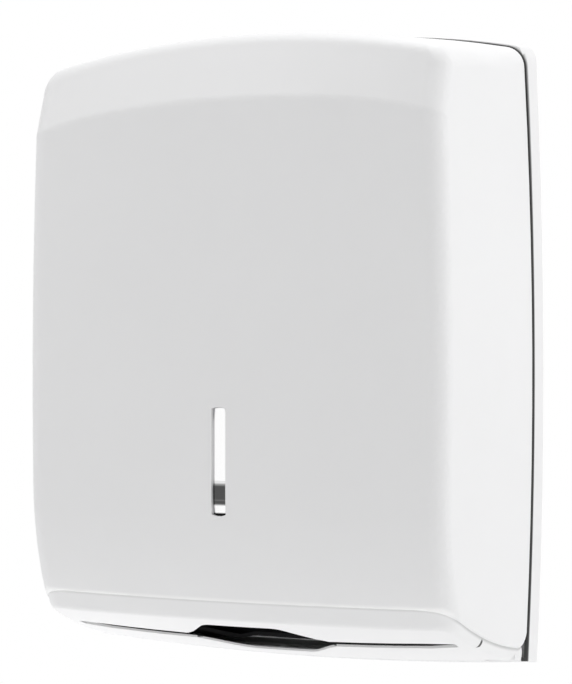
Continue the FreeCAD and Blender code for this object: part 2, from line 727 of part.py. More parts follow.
# Bottom panel: chin and underside with slit, mouth, hinge ears and screw tabs.
def bottom_panel(below):
    outer = cover_form("panel_form", "panel_step", "cover_rear")
    inner = cover_form("panel_core", "(panel_step + panel_wall)", "(cover_rear - cut_margin)", filleted=False)
    keep = above_underside("underside", "0", "panel_rear", "heel_rounding")
    hollow = above_underside("inner_floor", "panel_wall", "(panel_rear + panel_wall)",
                             "(heel_rounding - panel_wall)")
    solid = shared("panel_solid", [outer, keep, below])
    chin = rounded_chin(solid)
    void = shared("panel_void", [inner, hollow])
    over_lip = box("over_lip", ("-pin_end", "-panel_rear - panel_wall - panel_lip_gap", "panel_lip"),
                   ("2 * pin_end", "panel_wall + panel_lip_gap + cut_margin", "2 * parting_heel"))
    shell = without("panel_shell", chin, [void, over_lip])

    ears, bores, notches = [], [], []
    ear = "(lug_inner + lug_wall + ear_gap)"
    notch = "(lug_inner - pin_head_length - lug_notch_gap)"
    notch_length = "(lug_wall + pin_head_length + 2 * lug_notch_gap)"
    for side, sign in (("right", "1"), ("left", "-1")):
        start = ear if sign == "1" else f"(-{ear} - ear_length)"
        ears.append(rod("ear_" + side, (start, "-hinge_depth", "hinge_height"), "x", "ear_radius", "ear_length"))
        start = f"{ear} - cut_margin" if sign == "1" else "-pin_end - pin_fit"
        bores.append(rod("ear_bore_" + side, (start, "-hinge_depth", "hinge_height"), "x", "pin_radius + pin_fit",
                         f"pin_end + pin_fit - {ear} + cut_margin"))
        start = notch if sign == "1" else f"-{notch} - {notch_length}"
        notches.append(box("lug_notch_" + side, (start, "-hinge_depth - lug_notch_reach", "form_bottom"),
                           (notch_length, "hinge_depth + lug_notch_reach", "lug_notch_height - form_bottom")))
    tabs, tab_holes = [], []
    for i, x in enumerate(TAB_SCREWS):
        tabs.append(box("tab_%d" % i, (f"{x} - tab_half_width", "-tab_depth", "tab_foot"),
                        ("2 * tab_half_width", "tab_wall", "panel_screw_height + tab_rise - tab_foot")))
        tabs.append(box("tab_foot_%d" % i, (f"{x} - tab_half_width", "-front_depth", "tab_foot"),
                        ("2 * tab_half_width", "front_depth - tab_depth + tab_wall", "tab_foot_height")))
        tab_holes.append(rod("tab_hole_%d" % i, (x, "-tab_depth - cut_margin", "panel_screw_height"), "y",
                             "screw_radius + screw_clearance", "tab_wall + 2 * cut_margin"))
    ears_inside = shared("ears_inside", [joined("ear_rods", ears), solid])
    tabs_inside = shared("tabs_inside", [joined("tab_blocks", tabs), outer])
    thinning = above_underside("lip_relief_form", "slit_lip_wall", "(panel_rear + panel_wall)",
                               "(heel_rounding - panel_wall)")
    round_slit = box("round_slit", ("-slit_half_length - slit_lip_reach",
                                    "-slit_depth - slit_half_width - slit_lip_reach", "underside_rear"),
                     ("2 * (slit_half_length + slit_lip_reach)", "2 * (slit_half_width + slit_lip_reach)",
                      "parting_front - underside_rear"))
    round_mouth = box("round_mouth", ("-mouth_half_width - slit_lip_reach", "-mouth_front - slit_lip_reach",
                                      "underside_rear"),
                      ("2 * (mouth_half_width + slit_lip_reach)", "mouth_front - mouth_rear + 2 * slit_lip_reach",
                       "parting_front - underside_rear"))
    relief = shared("lip_relief", [thinning, joined("lip_round", [round_slit, round_mouth])])
    thinned = without("panel_thinned", shell, [relief])
    whole = joined("panel_whole", [thinned, ears_inside, tabs_inside])
    cuts = slit_and_mouth("panel_cut", "form_bottom", "parting_front", "0", "slit_half_length",
                          "slit_half_width", "slit_end_half_width")
    return without("bottom_panel", whole, cuts + bores + notches + tab_holes)


def rounded_chin(solid):
    """Rounds the edge between chin, sides and underside."""
    DOC.recompute()
    item = DOC.addObject("Part::Fillet", "rounded_chin")
    item.Base = solid
    radius = value("chin_radius")
    item.Edges = [(number, radius, radius)
                  for number in lower_edges(solid, "form_depth", "(panel_rear + heel_rounding)", -0.6)]
    return item


# Dark tray that carries the towels over the slit, hung from the back plate.
def towel_cradle():
    floor = "(panel_wall + tray_gap)"
    outer = above_underside("tray_floor", floor, "tray_rear", "tray_corner_radius")
    inner = above_underside("tray_inside", f"({floor} + tray_wall)", "(tray_rear + tray_wall)",
                            "(tray_corner_radius - tray_wall)")

    def block(name, inset, top):
        form = body(name)
        half, front = f"(tray_half_width - {inset})", f"(-tray_front + {inset})"
        end = f"({front} + tray_front_radius - sqrt(tray_front_radius^2 - {half}^2))"
        plan = outline(form, name + "_plan", "XY_Plane",
                       [("-" + half, end), (half, end), (half, "-plate_wall"), ("-" + half, "-plate_wall")],
                       {0: "tray_front_radius"})
        base = pad(form, name + "_block", plan, top)
        upright = edges(base, lambda p, d: abs(d.z) > 0.9 and p.y < -value("tray_rear"))
        fillet(form, name + "_corners", base, upright, f"tray_corner_radius - {inset}")
        return form
    tub = shared("tray_tub", [outer, block("tray_block", "0", "tray_rim")])
    space = shared("tray_space", [inner, block("tray_core", "tray_wall", "(tray_rim + cut_margin)")])
    shell = without("tray_shell", tub, [space])
    rest = "(plate_wall + boss_height)"
    shelf = box("tray_shelf", ("-tray_half_width", "-tray_rear - tray_wall", "tray_rim - tray_wall"),
                ("2 * tray_half_width", f"tray_rear + tray_wall - {rest}", "tray_wall"))
    flange = box("tray_flange", ("-tray_half_width", f"-{rest} - tray_wall", "tray_rim - tray_wall"),
                 ("2 * tray_half_width", "tray_wall", "tray_flange_top - tray_rim + tray_wall"))
    whole = joined("tray_whole", [shell, shelf, flange])
    holes = [rod("tray_hole_%d" % i, (x, f"-{rest} + cut_margin", z), "-y", "screw_radius + screw_clearance",
                 "tray_wall + 2 * cut_margin") for i, (x, z) in enumerate(TRAY_POSTS)]
    cuts = slit_and_mouth("tray_cut", "0", "(tray_rim - 2 * tray_wall)", "tray_mouth_gap", "tray_slot_half_length",
                          "tray_slot_half_width", "tray_slot_end_half_width")
    return without("towel_cradle", whole, cuts + holes)


# Upright fence beside the towel stack, with a rounded free edge and a flange screwed to the plate.
def guide():
    rest = "(plate_wall + boss_height)"
    fence = body("fence_form")
    r = "guide_rounding"
    corners = [(f"-{rest}", "guide_bottom"), (f"-{rest}", "guide_top"), (f"(-guide_reach + {r})", "guide_top"),
               ("-guide_reach", f"(guide_top - {r})"), ("-guide_reach", f"(guide_bottom + {r})"),
               (f"(-guide_reach + {r})", "guide_bottom")]
    side = outline(fence, "fence_side", "YZ_Plane", corners, {2: "-" + r, 4: "-" + r}, "guide_inner")
    pad(fence, "fence_block", side, "guide_wall")
    flange = box("guide_flange_box", ("guide_inner", f"-{rest} - guide_wall", "guide_bottom"),
                 ("guide_wall + guide_flange", "guide_wall", "guide_top - guide_bottom"))
    holes = [rod("guide_hole_%d" % i, (x, f"-{rest} + cut_margin", z), "-y", "screw_radius + screw_clearance",
                 "guide_wall + 2 * cut_margin") for i, (x, z) in enumerate(POSTS[:2])]
    right = without("guide_right", joined("guide_blank", [fence, flange]), holes)
    return right, mirrored("guide_left", right)


def screw(name, x, y, z, axis, length):
    """Pan head with its shank; y is the plane under the head and the shank runs along the axis."""
    back = {"y": "-y", "-y": "y"}[axis]
    head = rod(name + "_head", (x, y, z), back, "screw_head_radius", "screw_head_height")
    shank = rod(name + "_shank", (x, y, z), axis, "screw_radius", length)
    return joined(name, [head, shank])


def plate_screws(name, places, wall):
    """Screws through a flange into the plate's posts."""
    seat = f"(-plate_wall - boss_height - {wall})"
    return group(name, [screw("%s_%d" % (name, i), x, seat, z, "y", f"{wall} + screw_bite - screw_tip_gap")
                        for i, (x, z) in enumerate(places)])


# Headed pins pressed into the lugs; the panel's ears turn on their ends.
def hinge_pins():
    head = rod("pin_head", ("lug_inner - pin_head_length", "-hinge_depth", "hinge_height"), "x",
               "pin_head_radius", "pin_head_length")
    shank = rod("pin_shank", ("lug_inner", "-hinge_depth", "hinge_height"), "x", "pin_radius",
                "pin_end - lug_inner - pin_end_gap")
    right = joined("hinge_pin_right", [head, shank])
    return right, mirrored("hinge_pin_left", right)


def upright_slot(name, margin, depth, length):
    """Upright strip with bowed ends, larger than the viewing slot by a margin all round."""
    strip = body(name)
    half, ends = f"(window_half_width + {margin})", f"(window_end_radius + {margin})"
    sag = f"({ends} - sqrt({ends}^2 - {half}^2))"
    low, high = f"(window_bottom - {margin} + {sag})", f"(window_top + {margin} - {sag})"
    corners = [("-" + half, low), (half, low), (half, high), ("-" + half, high)]
    face = outline(strip, name + "_outline", "XZ_Plane", corners, {0: ends, 2: ends}, depth)
    pad(strip, name + "_block", face, length)
    return strip


def lens_stakes(name, fit):
    """Headed stakes above and below the viewing slot, or with a fit their holes in the lens."""
    stakes = []
    for i, z in enumerate(("window_bottom - stake_offset", "window_top + stake_offset")):
        start = ("0", "-front_depth + frame_depth - cut_margin", z)
        stakes.append(rod("%s_%d" % (name, i), start, "y", f"stake_radius + {fit}",
                          "lens_wall + cut_margin + stake_head_height"))
        if fit == "0":
            seat = ("0", "-front_depth + frame_depth + lens_wall + stake_gap", z)
            stakes.append(rod("%s_head_%d" % (name, i), seat, "y", "stake_head_radius", "stake_head_height"))
    return stakes


# Clear strip behind the viewing slot, held by two stakes whose heads are melted down.
def window_lens():
    strip = upright_slot("lens_strip", "lens_margin", "(front_depth - frame_depth - lens_wall)", "lens_wall")
    return without("window_lens", strip, lens_stakes("lens_hole", "stake_fit"))


# Cam lock: threaded barrel held by washer and nut under the cover's top, plug, cam and screw.
def lock():
    middle = ("0", "-lock_depth")
    head = rod("lock_head", middle + ("lock_seat",), "z", "lock_head_radius", "lock_head_height")
    barrel = rod("lock_barrel", middle + ("lock_barrel_bottom",), "z", "lock_barrel_radius",
                 "lock_seat - lock_barrel_bottom")
    bore = rod("lock_bore", middle + ("lock_barrel_bottom - cut_margin",), "z", "plug_radius + plug_fit",
               "lock_seat + lock_head_height - lock_barrel_bottom + 2 * cut_margin")
    counterbore = rod("lock_counterbore",
                      middle + ("lock_seat + lock_head_height - plug_recess - plug_shoulder_height",), "z",
                      "plug_shoulder_radius + plug_fit", "plug_recess + plug_shoulder_height + cut_margin")
    yield without("lock_body", joined("lock_body_blank", [head, barrel]), [bore, counterbore])

    washer_bottom = "(lock_boss_bottom - lock_washer_height)"
    disc = rod("washer_disc", middle + (washer_bottom,), "z", "lock_washer_radius", "lock_washer_height")
    hole = rod("washer_hole", middle + (f"{washer_bottom} - cut_margin",), "z",
               "lock_barrel_radius + lock_barrel_gap", "lock_washer_height + 2 * cut_margin")
    yield without("lock_washer", disc, [hole])

    nut = DOC.addObject("Part::Prism", "nut_prism")
    bind(nut, Circumradius="lock_nut_width / sqrt(3)", Height="lock_nut_height")
    place(nut, middle + (f"{washer_bottom} - lock_nut_height",))
    hole = rod("nut_hole", middle + (f"{washer_bottom} - lock_nut_height - cut_margin",), "z",
               "lock_barrel_radius + plug_fit", "lock_nut_height + 2 * cut_margin")
    yield without("lock_nut", nut, [hole])

    cam_top = "(lock_barrel_bottom - cam_gap)"
    top = "(lock_seat + lock_head_height - plug_recess)"
    shaft = rod("plug_shaft", middle + (cam_top,), "z", "plug_radius", f"{top} - {cam_top}")
    shoulder = rod("plug_shoulder", middle + (f"{top} - plug_shoulder_height + plug_fit",), "z",
                   "plug_shoulder_radius", "plug_shoulder_height - plug_fit")
    square = box("plug_end", ("-plug_square / 2", "-lock_depth - plug_square / 2", f"{cam_top} - cam_wall"),
                 ("plug_square", "plug_square", "cam_wall + cut_margin"))
    keyway = box("keyway", ("-keyway_width / 2", "-lock_depth - keyway_length / 2", f"{top} - keyway_depth"),
                 ("keyway_width", "keyway_length", "keyway_depth + cut_margin"))
    tapped = rod("plug_tapped", middle + (f"{cam_top} - cam_wall - cut_margin",), "z",
                 "cam_screw_radius + screw_fit", "cam_screw_length + cut_margin + screw_tip_gap")
    yield without("lock_plug", joined("plug_blank", [shaft, shoulder, square]), [keyway, tapped])

    cam = body("cam_form")
    half = "(cam_width / 2)"
    corners = [(half, "-lock_depth"), (half, f"(-lock_depth + cam_length - {half})"),
               ("-" + half, f"(-lock_depth + cam_length - {half})"), ("-" + half, "-lock_depth")]
    plan = outline(cam, "cam_plan", "XY_Plane", corners, {1: half + " + arc_ease", 3: half + " + arc_ease"},
                   f"{cam_top} - cam_wall")
    pad(cam, "cam_block", plan, "cam_wall")
    side = "(plug_square + 2 * cam_fit)"
    socket = box("cam_socket",
                 (f"-{side} / 2", f"-lock_depth - {side} / 2", f"{cam_top} - cam_wall - cut_margin"),
                 (side, side, "cam_wall + 2 * cut_margin"))
    yield without("lock_cam", cam, [socket])

    under = f"({cam_top} - cam_wall)"
    screw_head = rod("cam_screw_head", middle + (under,), "-z", "cam_screw_head_radius", "cam_screw_head_height")
    shank = rod("cam_screw_shank", middle + (under,), "z", "cam_screw_radius", "cam_screw_length")
    yield joined("cam_screw", [screw_head, shank])


# Bent steel keeper: a foot on the plate, an arm along Y and a lip in front of the turned cam.
def lock_strike():
    rest = "(plate_wall + boss_height)"
    lip_back = "(lock_depth + cam_width / 2 + strike_gap)"
    bottom = f"{STRIKE_Z} - strike_half_height"
    tall = "2 * strike_half_height"
    foot = box("strike_foot_box", ("strike_arm", f"-{rest} - strike_wall", bottom),
               ("strike_wall + strike_foot", "strike_wall", tall))
    arm = box("strike_arm_box", ("strike_arm", f"-{lip_back} - strike_wall", bottom),
              ("strike_wall", f"{lip_back} + strike_wall - {rest}", tall))
    lip = box("strike_lip_box", ("strike_lip", f"-{lip_back} - strike_wall", bottom),
              ("strike_arm + strike_wall - strike_lip", "strike_wall", tall))
    holes = [rod("strike_hole_%d" % i, (x, f"-{rest} + cut_margin", z), "-y", "screw_radius + screw_clearance",
                 "strike_wall + 2 * cut_margin") for i, (x, z) in enumerate(STRIKE_POSTS)]
    return without("lock_strike", joined("strike_blank", [foot, arm, lip]), holes)


def panel_screws():
    seat = "(-tab_depth + tab_wall)"
    return group("panel_screws", [screw("panel_screw_%d" % i, x, seat, "panel_screw_height", "-y",
                                        "tab_wall + screw_bite - cut_margin - screw_tip_gap")
                                  for i, x in enumerate(TAB_SCREWS)])


def build():
    below = below_parting()
    outer = cover_form("cover_outer", "0", "cover_rear")
    core = cover_form("cover_core", "cover_wall", "(cover_rear - cut_margin)", filleted=False)
    pieces = [base_plate(), front_cover(outer, core, below), bottom_panel(below), towel_cradle(), lock_strike(),
              window_lens(), panel_screws(), plate_screws("guide_screws", POSTS, "guide_wall"),
              plate_screws("cradle_screws", TRAY_POSTS, "tray_wall"),
              plate_screws("strike_screws", STRIKE_POSTS, "strike_wall")]
    pieces += guide()
    pieces += hinge_pins()
    pieces += lock()
    for piece in pieces:
        if piece.TypeId != "Part::Mirroring":
            place(piece, ("0", "0", "-fixing_centre"))
    DOC.recompute()
    return pieces


def checked(pieces):
    """Stops with the names of objects that failed."""
    failed = [item.Label for item in DOC.Objects if {"Invalid", "Error"} & set(item.State)]
    failed += [piece.Label for piece in pieces if piece.Shape.isNull() or not piece.Shape.isValid()]
    if failed:
        raise SystemExit("failed: " + ", ".join(failed))
    return pieces


os.makedirs("parts", exist_ok=True)
for piece in checked(build()):
    piece.Shape.exportStep("parts/%s.step" % piece.Label)
    print(piece.Label, len(piece.Shape.Solids), round(piece.Shape.Volume, 1))
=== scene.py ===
import math
import bmesh
import bpy
import numpy as np
from mathutils import Matrix, Vector


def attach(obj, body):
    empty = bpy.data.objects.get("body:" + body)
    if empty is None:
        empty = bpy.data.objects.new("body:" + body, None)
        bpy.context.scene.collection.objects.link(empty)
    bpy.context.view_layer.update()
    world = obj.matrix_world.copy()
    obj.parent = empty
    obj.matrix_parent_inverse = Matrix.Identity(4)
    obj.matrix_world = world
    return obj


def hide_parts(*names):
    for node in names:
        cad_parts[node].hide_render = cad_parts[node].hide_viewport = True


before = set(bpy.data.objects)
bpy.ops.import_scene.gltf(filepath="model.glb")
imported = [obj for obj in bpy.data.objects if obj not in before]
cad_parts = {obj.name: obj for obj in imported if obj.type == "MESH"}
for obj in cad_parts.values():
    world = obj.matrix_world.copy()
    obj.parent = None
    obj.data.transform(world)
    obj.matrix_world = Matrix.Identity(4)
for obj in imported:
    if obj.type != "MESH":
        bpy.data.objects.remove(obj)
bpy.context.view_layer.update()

# Back plate: one white ABS moulding, hung on the wall by four screws. It carries a tapered rim, the
# locating lip, screw posts, ribs and two hinge lugs. Shade is painted dark on the rim's land in the narrow
# gap round the cover.


class Wire:
    """A socket in the tree of a finish or of the surround; arithmetic on wires adds Math nodes."""

    def __init__(self, tree, socket=None):
        self.tree = tree
        self.socket = socket

    def add(self, kind, settings=None, sockets=None, out=0):
        """Adds a node. Its settings, such as an operation or a ramp's stops, come first, then the values
        or wires of its sockets. Gives the wire of one of its outputs."""
        node = self.tree.nodes.new(kind)
        settings = dict(settings or {})
        for i, (position, colour) in enumerate(settings.pop("stops", [])):
            elements = node.color_ramp.elements
            stop = elements[i] if i < 2 else elements.new(position)
            stop.position = position
            stop.color = tuple(colour) + (1,)
        for name, setting in settings.items():
            setattr(node, name, setting)
        for name, value in (sockets or {}).items():
            if isinstance(value, Wire):
                self.tree.links.new(value.socket, node.inputs[name])
            else:
                node.inputs[name].default_value = value
        return Wire(self.tree, node.outputs[out]) if len(node.outputs) else node

    def math(self, operation, *values):
        return self.add("ShaderNodeMath", {"operation": operation}, dict(enumerate(values)))

    def __add__(self, other):
        return self.math("ADD", self, other)

    def __sub__(self, other):
        return self.math("SUBTRACT", self, other)

    def __rsub__(self, other):
        return self.math("SUBTRACT", other, self)

    def __mul__(self, other):
        return self.math("MULTIPLY", self, other)

    def __truediv__(self, other):
        return self.math("DIVIDE", self, other)

    def __pow__(self, other):
        return self.math("POWER", self, other)

    def __abs__(self):
        return self.math("ABSOLUTE", self)

    def __or__(self, other):
        """The larger of two wires."""
        return self.math("MAXIMUM", self, other)

    __radd__ = __add__
    __rmul__ = __mul__

    def rise(self, low, high):
        """0 below low, 1 above high, smooth between; the other way round where low is above high."""
        return self.add("ShaderNodeMapRange", {"interpolation_type": "SMOOTHSTEP"},
                        {"Value": self, "From Min": low, "From Max": high})

    def mix(self, first, second):
        """Colour that goes from first to second as this wire goes from 0 to 1."""
        pair = [c if isinstance(c, Wire) else tuple(c) + (1,) for c in (first, second)]
        return self.add("ShaderNodeMix", {"data_type": "RGBA"}, {0: self, 6: pair[0], 7: pair[1]}, 2)


def new_finish(name):
    """Empty material with its place on the piece, in metres."""
    finish = bpy.data.materials.new(name)
    finish.use_nodes = True
    finish.node_tree.nodes.clear()
    place = Wire(finish.node_tree).add("ShaderNodeTexCoord", out="Object")
    return finish, place


def moulded(name, colour, roughness, grain=0.12, shine=0.5, marks=()):
    """Moulded plastic: even colour with faint clouds, a spark-eroded grain and a slight orange peel. Each
    mark is a grey and a function that turns the three coordinates into how far that grey shows."""
    finish, place = new_finish(name)
    clouds = place.add("ShaderNodeTexNoise", None, {"Vector": place, "Scale": 11, "Detail": 2})
    pits = place.add("ShaderNodeTexNoise", None, {"Vector": place, "Scale": 1500, "Detail": 2})
    peel = place.add("ShaderNodeTexNoise", None, {"Vector": place, "Scale": 160, "Detail": 1})
    tone = clouds.rise(0.3, 0.7).mix([c * 0.995 for c in colour], [c * 1.005 for c in colour])
    x, y, z = (place.add("ShaderNodeSeparateXYZ", None, {0: place}, axis) for axis in "XYZ")
    for grey, shows in marks:
        tone = shows(x, y, z).mix(tone, (grey, grey, grey))
    bump = place.add("ShaderNodeBump", None, {"Strength": grain, "Distance": 0.0001,
                                              "Height": pits + peel * 0.6})
    plastic = place.add("ShaderNodeBsdfPrincipled", None, {
        "Base Color": tone, "Roughness": clouds * 0.04 + pits * 0.03 + (roughness - 0.03), "Normal": bump,
        "IOR": 1.5, "Specular IOR Level": shine})
    place.add("ShaderNodeOutputMaterial", None, {"Surface": plastic})
    return finish


def skin(node, body_name, finish, shape=None):
    """Copy of a CAD piece that stands for it: its triangles are merged and its round faces shade smooth,
    and edges that turn by more than the crease angle stay sharp. shape moves the array of its points."""
    crease_angle = math.radians(24)
    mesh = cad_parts[node].data.copy()
    mesh.materials.clear()
    mesh.materials.append(finish)
    work = bmesh.new()
    work.from_mesh(mesh)
    bmesh.ops.remove_doubles(work, verts=work.verts, dist=2e-6)
    bmesh.ops.dissolve_degenerate(work, edges=work.edges, dist=1e-7)
    for face in work.faces:
        face.smooth = True
        face.material_index = 0
    for edge in work.edges:
        edge.smooth = len(edge.link_faces) == 2 and edge.calc_face_angle(0) < crease_angle
    work.to_mesh(mesh)
    work.free()
    if shape:
        points = np.empty(3 * len(mesh.vertices))
        mesh.vertices.foreach_get("co", points)
        mesh.vertices.foreach_set("co", shape(points.reshape(-1, 3)).ravel())
        mesh.update()
    piece = bpy.data.objects.new(node + "_skin", mesh)
    bpy.context.collection.objects.link(piece)
    even = piece.modifiers.new("even_shading", "WEIGHTED_NORMAL")
    even.keep_sharp = True
    even.weight = 60
    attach(piece, body_name)
    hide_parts(node)
    return piece


def bow(across, radius):
    """How far an arc of that radius falls away at a distance across from its crown."""
    fall = across * across / (2 * radius)
    return fall + fall * fall / (2 * radius)


# Outlines of the rim and of the cover's rear edge: half width, the sides' radius, crest and the top's
# radius. Their corners are given as the solids have them and fuller, with the way both sides face there.
rim_outline, cover_outline = (0.141, 3.68, 0.1836, 0.572), (0.1378, 3.3, 0.1815, 0.565)
widest, full_top_radius = -0.012, 0.68
rim_corner, full_rim_corner = 0.019, 0.012
cover_corner, full_cover_corner = 0.017, 0.013
side_faces, top_faces = np.array((0.9988, 0.0492)), np.array((0.2087, 0.978))


def corner_centre(half_width, side_radius, crest, top_radius, corner_radius):
    """Centre of an outline's upper corner: where its side and top arcs meet, both moved inwards by the
    corner's radius. Found by letting the two bows settle."""
    x, z = half_width, crest
    for _ in range(20):
        x, z = (half_width - corner_radius - bow(z - widest, side_radius - corner_radius),
                crest - corner_radius - bow(x, top_radius - corner_radius))
    return np.array((x, z))


def ramp(values, low, high):
    """0 below low, 1 above high, smooth between."""
    part = np.clip((values - low) / (high - low), 0, 1)
    return part * part * (3 - 2 * part)


def tighter_corners(points, centre, old, new, share):
    """Moves the two upper corners outwards, so that their rounding goes from the old radius to the new.
    Along each ray from the old centre, the outline goes out to the new arc, which touches the same sides,
    or beyond its ends to the sides themselves. share says how far each point takes part."""
    def in_corner(way):
        """Whether a way out from the centre lies between those that the side and the top face."""
        return ((side_faces[0] * way[:, 1] > side_faces[1] * way[:, 0])
                & (top_faces[0] * way[:, 1] < top_faces[1] * way[:, 0]))

    shift = (old - new) * (side_faces + top_faces) / (1 + side_faces @ top_faces)
    offset = np.stack([np.abs(points[:, 0]) - centre[0], points[:, 2] - centre[1]], -1)
    ray = offset / np.maximum(np.hypot(*offset.T), 1e-9)[:, None]
    arc = ray @ shift + np.sqrt(np.maximum(new ** 2 - shift @ shift + (ray @ shift) ** 2, 0))
    edge = old / np.maximum(np.maximum(ray @ side_faces, ray @ top_faces), 0.5)
    on_arc, turned = in_corner(arc[:, None] * ray - shift), in_corner(ray)
    factor = 1 + (np.where(on_arc, arc, edge) / old - 1) * turned * share
    moved = points.copy()
    moved[:, 0] = np.sign(points[:, 0]) * (centre[0] + offset[:, 0] * factor)
    moved[:, 2] = centre[1] + offset[:, 1] * factor
    return np.where((turned & (share > 0))[:, None], moved, points)


def fuller_rim(points):
    """The rim alone, the outer 5 mm: its arch flattens from 572 to 680 mm radius, but no higher than its
    crown, and its corners tighten to 12 mm."""
    half_width, side_radius, crest, top_radius = rim_outline
    x, z = np.abs(points[:, 0]), points[:, 2]
    inside = np.minimum(half_width - bow(z - widest, side_radius) - x, crest - bow(x, top_radius) - z)
    rim = ramp(-inside, -0.0056, -0.0048)
    lift = rim * ramp(z, 0.06, 0.15) * (bow(x, top_radius) - bow(x, full_top_radius))
    lifted = np.minimum(points + np.stack([0 * x, 0 * x, lift], -1), points.max(0))
    centre = corner_centre(half_width, side_radius, crest, full_top_radius, rim_corner)
    away = np.hypot(x - centre[0], lifted[:, 2] - centre[1])
    return tighter_corners(lifted, centre, rim_corner, full_rim_corner, ramp(away, 0.0136, 0.0143))


def painted_gap_shade(x, y, z):
    """Painted shade on the rim's land, from the cover's outline to two millimetres beyond. The outline's
    corner is an arc about its centre; elsewhere its sides and its top are bowed."""
    half_width, side_radius, crest, top_radius = cover_outline
    centre = corner_centre(*cover_outline, full_cover_corner)
    side = abs(x) + bow(z - widest, side_radius) - half_width
    top = z + bow(x, top_radius) - crest
    along, up = abs(x) - centre[0], z - centre[1]
    turned = ((up - along * (side_faces[1] / side_faces[0])).rise(-1e-5, 1e-5)
              * (along - up * (top_faces[0] / top_faces[1])).rise(-1e-5, 1e-5))
    corner = (along * along + up * up) ** 0.5 - full_cover_corner
    beyond = turned * corner + (1 - turned) * (side | top)
    return beyond.rise(0.0021, 0.0004) * beyond.rise(-0.0032, -0.0028) * y.rise(-0.0106, -0.0113)


# The dark grey mark paints the shade that falls in the narrow gap between the rim and the cover.
plate_white = moulded("plate_white", (0.835, 0.835, 0.84), 0.5, marks=[(0.028, painted_gap_shade)])
skin("base_plate", "base", plate_white, shape=fuller_rim)

# Two fences beside the towel stack: thin white ABS walls with a flange, screwed to the plate's posts.
fence_white = moulded("fence_white", (0.85, 0.85, 0.85), 0.5)
for side in ("left", "right"):
    skin("guide_" + side, "base", fence_white)

# Tray over the slit: ABS moulding that carries the towels, hung on the plate by its flange with two
# screws. It is coloured near black, with a matt, coarser grain, which keeps the inside dark behind the slit
# and the finger mouth.
tray_dark = moulded("tray_dark", (0.012, 0.012, 0.013), 0.55, grain=0.3, shine=0.1)
skin("towel_cradle", "base", tray_dark)


# Cover: crowned and drafted shell of white ABS with a satin outside, hung at its lower edge and locked at
# the top. A paler strip along its lower front edge is a painted highlight, where light would catch the
# edge.
def arc_centre(rear, front, radius):
    """Centre of an arc, hollow side up, between two points given as depth and height."""
    rear, front = np.array(rear), np.array(front)
    chord = rear - front
    upward = np.array((-chord[1], chord[0])) / np.hypot(*chord)
    return (rear + front) / 2 + upward * math.sqrt(radius ** 2 - chord @ chord / 4)


seam_end, seam_heel, seam_level = (-0.0136, -0.168), (-0.026, -0.173), -0.1412
seam_front, seam_radius, heel_radius = -0.1185, 0.3, 0.0105


def below_seam(y, z):
    """Depth below the seam of cover and panel: level in front, then an arc, then the heel's arc."""
    def below_arc(rear, front, radius):
        centre = arc_centre(rear, front, radius)
        return ((y - centre[0]) ** 2 + (z - centre[1]) ** 2) ** 0.5 - radius

    side = below_arc(seam_heel, (seam_front, seam_level), seam_radius)
    heel = below_arc(seam_end, seam_heel, heel_radius)
    behind_front = y.rise(seam_front - 5e-5, seam_front + 5e-5)
    in_heel = y.rise(seam_heel[0] - 5e-5, seam_heel[0] + 5e-5)
    return (1 - behind_front) * (seam_level - z) + behind_front * ((1 - in_heel) * side + in_heel * heel)


def level_seam(points):
    """Points near the seam rise, so that it stays level round the front's corners and falls behind them.
    They keep to the front, which comes forward by 0.36 for each millimetre up."""
    def height(front, radius):
        centre = arc_centre(seam_heel, (front, seam_level), radius)
        y = np.clip(points[:, 1], front, seam_heel[0])
        return centre[1] - np.sqrt(radius ** 2 - (y - centre[0]) ** 2)

    solid_front, solid_radius, reach_above, reach_below = -0.127, 0.389, 0.018, 0.0065
    seam = height(solid_front, solid_radius)
    above = points[:, 2] - seam
    away = np.where(above > 0, above / reach_above, -above / reach_below)
    lift = (height(seam_front, seam_radius) - seam) * (1 - ramp(away, 0.2, 1))
    lift = lift * (points[:, 1] < seam_heel[0])
    return points + np.stack([0 * lift, -0.36 * lift, lift], -1)


def fuller_cover(points):
    """The cover's upper corners tighten to 13 mm at the rear edge, and less further forward."""
    points = level_seam(points)
    centre = corner_centre(*cover_outline, cover_corner)
    away = np.hypot(np.abs(points[:, 0]) - centre[0], points[:, 2] - centre[1])
    share = ramp(away, 0.010, 0.013) * ramp(points[:, 1], -0.08, seam_end[0])
    return tighter_corners(points, centre, cover_corner, full_cover_corner, share)


# The pale mark is a painted highlight along the strip just above the seam at the front.
cover_white = moulded("cover_white", (0.84, 0.84, 0.845), 0.46, marks=[
    (0.95, lambda x, y, z: below_seam(y, z).rise(-0.0024, -0.0002) * y.rise(-0.108, -0.116))])
skin("front_cover", "cover", cover_white, shape=fuller_cover)


# Bottom panel: chin and underside of the same ABS, with the towel slit and the finger mouth, screwed into
# the cover from inside. Shade is painted along the seam above it, in the relief behind the slit and on its
# low rear wall.
def wider_slit(points):
    """Each of the slit's lips moves 2.2 mm along the underside, which falls by 0.35 to the rear."""
    points = level_seam(points)
    slit_middle, half_slit, slit_end = -0.082, 0.004, 0.114
    along = points[:, 1] - slit_middle
    lips = (np.abs(along) < half_slit + 2e-4) & (np.abs(points[:, 0]) < slit_end + 2e-4)
    lips = lips & (np.abs(along) > 0.001) & (points[:, 2] < -0.149)
    push = np.sign(along) * 0.0022 * lips
    return points + np.stack([0 * push, push, -0.35 * push], -1)


def slit_painted_shade(x, y, z):
    """Painted shade in the relief behind the slit's rear lip, above the underside's bow of 1.7 m radius."""
    above = z + 0.17114 - bow(x, 1.7)
    return above.rise(0.0006, 0.0009) * y.rise(-0.0758, -0.0755) * y.rise(-0.0733, -0.0736)


def mouth_wall_painted_shade(x, y, z):
    """Painted shade on the low rear wall, where it faces the mouth."""
    return abs(x).rise(0.075, 0.065) * y.rise(-0.0190, -0.0175) * z.rise(-0.1815, -0.1800)
